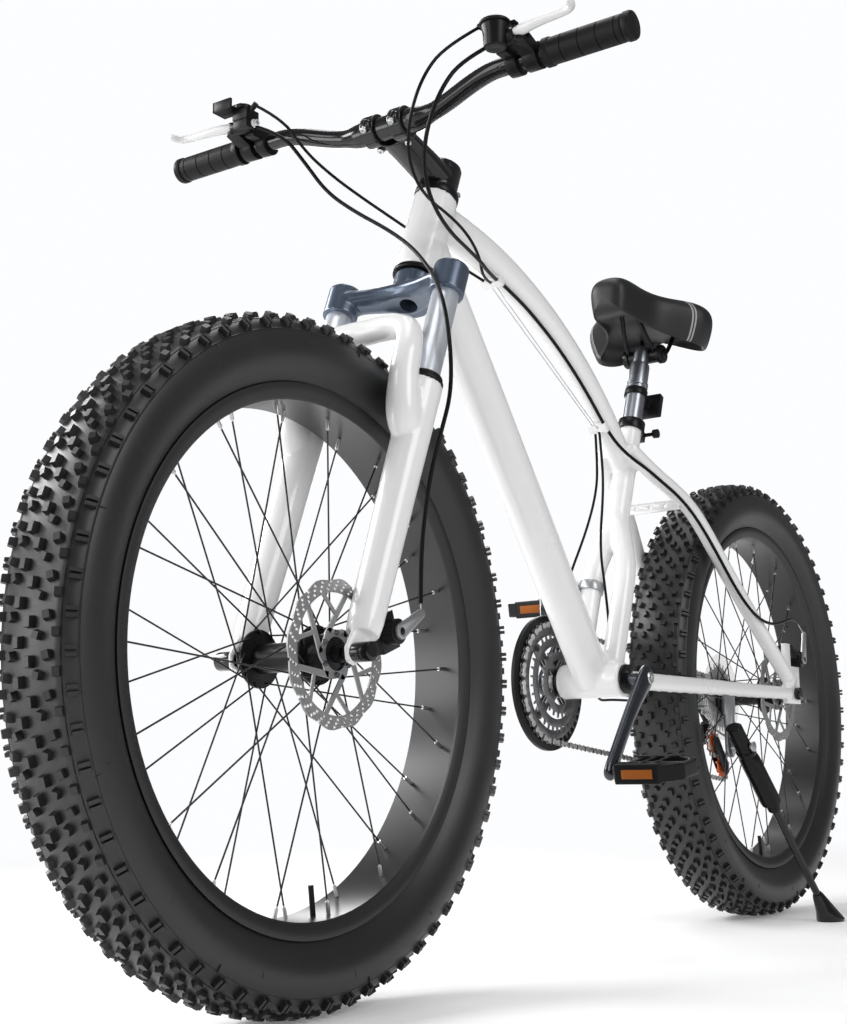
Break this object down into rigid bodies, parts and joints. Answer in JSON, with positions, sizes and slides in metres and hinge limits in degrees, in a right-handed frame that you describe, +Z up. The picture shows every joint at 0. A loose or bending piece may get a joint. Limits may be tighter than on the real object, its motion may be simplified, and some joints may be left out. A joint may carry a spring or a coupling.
{
  "type": "fat tire bicycle",
  "caption": "White fat tire bicycle with a curved top tube, telescopic suspension fork, disc brakes, derailleur drive, riser bar and a rear kickstand.",
  "frame": {"origin": "on the ground, midway between the two tires", "axes": "+X forward, +Y to the rider's left (disc and kickstand side), +Z up"},
  "size_m": [1.97, 0.692, 1.1193],
  "materials": {
    "white_paint": "gloss",
    "slate_paint": "satin gloss",
    "black_paint": "gloss",
    "white_lever_paint": "gloss",
    "chromed": "polished",
    "steel": "brushed",
    "dark_steel": "dark plated",
    "alloy": "satin",
    "black_alloy": "anodised",
    "tyre_rubber": "matt tread",
    "soft_rubber": "matt",
    "black_plastic": "matt",
    "gloss_black_plastic": "gloss",
    "orange_plastic": "gloss",
    "saddle_skin": "smooth",
    "cable_skin": "smooth"
  },
  "bodies": {
    "frame": {"main_frame": "white_paint", "rear_triangle": "white_paint", "bearing_cups": "black_alloy", "seat_clamp": "black_alloy", "rear_axle": "black_alloy", "rear_brake_caliper": "alloy", "derailleur_body": "black_alloy", "front_derailleur_clamp": "dark_steel", "kickstand_bracket": "steel", "chain": "dark_steel", "frame_cables": "cable_skin"},
    "steering": {"fork_crown": "slate_paint", "stanchions": "chromed", "fork_springs": "steel", "stem": "black_paint", "handlebar": "black_paint", "grips": "soft_rubber", "control_mounts": "black_plastic", "handlebar_cables": "cable_skin", "front_brake_cable": "cable_skin"},
    "fork_slider": {"fork_lowers": "white_paint", "fork_seals": "soft_rubber", "front_axle": "black_alloy", "front_brake_caliper": "alloy"},
    "front_wheel": {"front_tire": "tyre_rubber", "front_inner_tube": "soft_rubber", "front_rim": "black_paint", "front_hub": "black_alloy", "front_spokes": "dark_steel", "front_rotor": "steel"},
    "rear_wheel": {"rear_tire": "tyre_rubber", "rear_inner_tube": "soft_rubber", "rear_rim": "black_paint", "rear_hub": "black_alloy", "rear_spokes": "dark_steel", "rear_rotor": "steel"},
    "freewheel": {"freewheel": "dark_steel"},
    "crank": {"crankset": "black_paint", "chainrings": "dark_steel", "chain_guard": "gloss_black_plastic"},
    "left_pedal": {"left_pedal": "black_plastic"},
    "right_pedal": {"right_pedal": "black_plastic"},
    "derailleur_link": {"derailleur_link": "black_alloy"},
    "derailleur_cage": {"derailleur_cage": "dark_steel"},
    "upper_jockey_wheel": {"upper_jockey_wheel": "orange_plastic"},
    "lower_jockey_wheel": {"lower_jockey_wheel": "orange_plastic"},
    "front_derailleur_cage": {"front_derailleur_cage": "dark_steel"},
    "front_brake_arm": {"front_brake_arm": "black_alloy"},
    "rear_brake_arm": {"rear_brake_arm": "black_alloy"},
    "left_brake_lever": {"left_brake_lever": "white_lever_paint"},
    "right_brake_lever": {"right_brake_lever": "white_lever_paint"},
    "left_shift_lever": {"left_shift_lever": "black_plastic"},
    "right_shift_lever": {"right_shift_lever": "black_plastic"},
    "seat": {"seat_post": "chromed", "rear_reflector": "black_plastic", "saddle_cover": "saddle_skin", "saddle_frame": "dark_steel"},
    "seat_clamp_lever": {"seat_clamp_lever": "black_alloy"},
    "kickstand_sleeve": {"kickstand_sleeve": "black_alloy"},
    "kickstand_leg": {"kickstand_leg": "black_alloy"}
  },
  "joints": [
    {"name": "steer", "type": "hinge", "parent": "frame", "child": "steering", "pos_m": [0.37287, 0, 0.86785], "axis": [-0.3746, 0, 0.9272], "range_deg": [-50, 50], "deforming": ["handlebar_cables"]},
    {"name": "fork_slide", "type": "slide", "parent": "steering", "child": "fork_slider", "axis": [-0.3746, 0, 0.9272], "range_m": [0, 0.05], "stiffness_N_per_m": 8000, "springref_m": -0.025, "deforming": ["fork_springs", "front_brake_cable"]},
    {"name": "front_wheel_spin", "type": "hinge", "parent": "fork_slider", "child": "front_wheel", "pos_m": [0.615, 0, 0.37], "axis": [0, 1, 0], "continuous": true},
    {"name": "rear_wheel_spin", "type": "hinge", "parent": "frame", "child": "rear_wheel", "pos_m": [-0.615, 0, 0.37], "axis": [0, 1, 0], "continuous": true},
    {"name": "crank_spin", "type": "hinge", "parent": "frame", "child": "crank", "pos_m": [-0.06, 0, 0.373], "axis": [0, 1, 0], "continuous": true, "deforming": ["chain"]},
    {"name": "freewheel_spin", "type": "hinge", "parent": "frame", "child": "freewheel", "pos_m": [-0.615, -0.063, 0.37], "axis": [0, 1, 0], "continuous": true},
    {"name": "left_pedal_spin", "type": "hinge", "parent": "crank", "child": "left_pedal", "pos_m": [0.05375, 0.136, 0.24666], "axis": [0, 1, 0], "continuous": true},
    {"name": "right_pedal_spin", "type": "hinge", "parent": "crank", "child": "right_pedal", "pos_m": [-0.17375, -0.136, 0.49933], "axis": [0, 1, 0], "continuous": true},
    {"name": "left_brake_squeeze", "type": "hinge", "parent": "steering", "child": "left_brake_lever", "pos_m": [0.47861, 0.217, 1.07699], "axis": [0, 0, 1], "range_deg": [0, 25], "stiffness_Nm_per_rad": 2},
    {"name": "right_brake_squeeze", "type": "hinge", "parent": "steering", "child": "right_brake_lever", "pos_m": [0.47861, -0.217, 1.07699], "axis": [0, 0, -1], "range_deg": [0, 25], "stiffness_Nm_per_rad": 2},
    {"name": "front_brake_pull", "type": "hinge", "parent": "fork_slider", "child": "front_brake_arm", "pos_m": [0.54123, 0.089, 0.39685], "axis": [0, 1, 0], "range_deg": [0, 30]},
    {"name": "rear_brake_pull", "type": "hinge", "parent": "frame", "child": "rear_brake_arm", "pos_m": [-0.66333, 0.091, 0.43186], "axis": [0, 1, 0], "range_deg": [0, 30]},
    {"name": "left_shift", "type": "hinge", "parent": "steering", "child": "left_shift_lever", "pos_m": [0.48661, 0.192, 1.09799], "axis": [0, 0, 1], "range_deg": [0, 40]},
    {"name": "right_shift", "type": "hinge", "parent": "steering", "child": "right_shift_lever", "pos_m": [0.48661, -0.192, 1.09799], "axis": [0, 0, -1], "range_deg": [-20, 44]},
    {"name": "derailleur_swing", "type": "hinge", "parent": "frame", "child": "derailleur_link", "pos_m": [-0.659, -0.082, 0.318], "axis": [0, 0.5, 0.866], "range_deg": [-16.5, 36]},
    {"name": "derailleur_counter_swing", "type": "hinge", "parent": "derailleur_link", "child": "derailleur_cage", "pos_m": [-0.619, -0.082, 0.318], "axis": [0, 0.5, 0.866], "range_deg": [-36, 16.5]},
    {"name": "upper_jockey_spin", "type": "hinge", "parent": "derailleur_cage", "child": "upper_jockey_wheel", "pos_m": [-0.624, -0.068, 0.293], "axis": [0, 1, 0], "continuous": true},
    {"name": "lower_jockey_spin", "type": "hinge", "parent": "derailleur_cage", "child": "lower_jockey_wheel", "pos_m": [-0.657, -0.068, 0.25], "axis": [0, 1, 0], "continuous": true},
    {"name": "front_derailleur_swing", "type": "hinge", "parent": "frame", "child": "front_derailleur_cage", "pos_m": [-0.09853, -0.058, 0.51997], "axis": [1, 0, 0], "range_deg": [0, 14.5]},
    {"name": "seat_height", "type": "slide", "parent": "frame", "child": "seat", "axis": [-0.3502, 0, 0.9367], "range_m": [-0.03, 0.06]},
    {"name": "seat_clamp_open", "type": "hinge", "parent": "frame", "child": "seat_clamp_lever", "pos_m": [-0.236, -0.0333, 0.7652], "axis": [0.3502, 0, -0.9367], "range_deg": [0, 150]},
    {"name": "kickstand_swing", "type": "hinge", "parent": "frame", "child": "kickstand_sleeve", "pos_m": [-0.3769, 0.0909, 0.279], "axis": [0, 1, 0], "range_deg": [0, 70]},
    {"name": "kickstand_length", "type": "slide", "parent": "kickstand_sleeve", "child": "kickstand_leg", "axis": [-0.5701, 0.1536, -0.8071], "range_m": [-0.03, 0.03]}
  ],
  "couplings": [
    {"joint": "freewheel_spin", "follows": "crank_spin", "ratio": 2.3333},
    {"joint": "upper_jockey_spin", "follows": "crank_spin", "ratio": -3.8182},
    {"joint": "lower_jockey_spin", "follows": "crank_spin", "ratio": 3.8182},
    {"joint": "derailleur_swing", "follows": "right_shift", "ratio": 0.8},
    {"joint": "derailleur_counter_swing", "follows": "right_shift", "ratio": -0.8},
    {"joint": "front_derailleur_swing", "follows": "left_shift", "ratio": 0.35},
    {"joint": "front_brake_pull", "follows": "right_brake_squeeze", "ratio": 1.2},
    {"joint": "rear_brake_pull", "follows": "left_brake_squeeze", "ratio": 1.2}
  ]
}
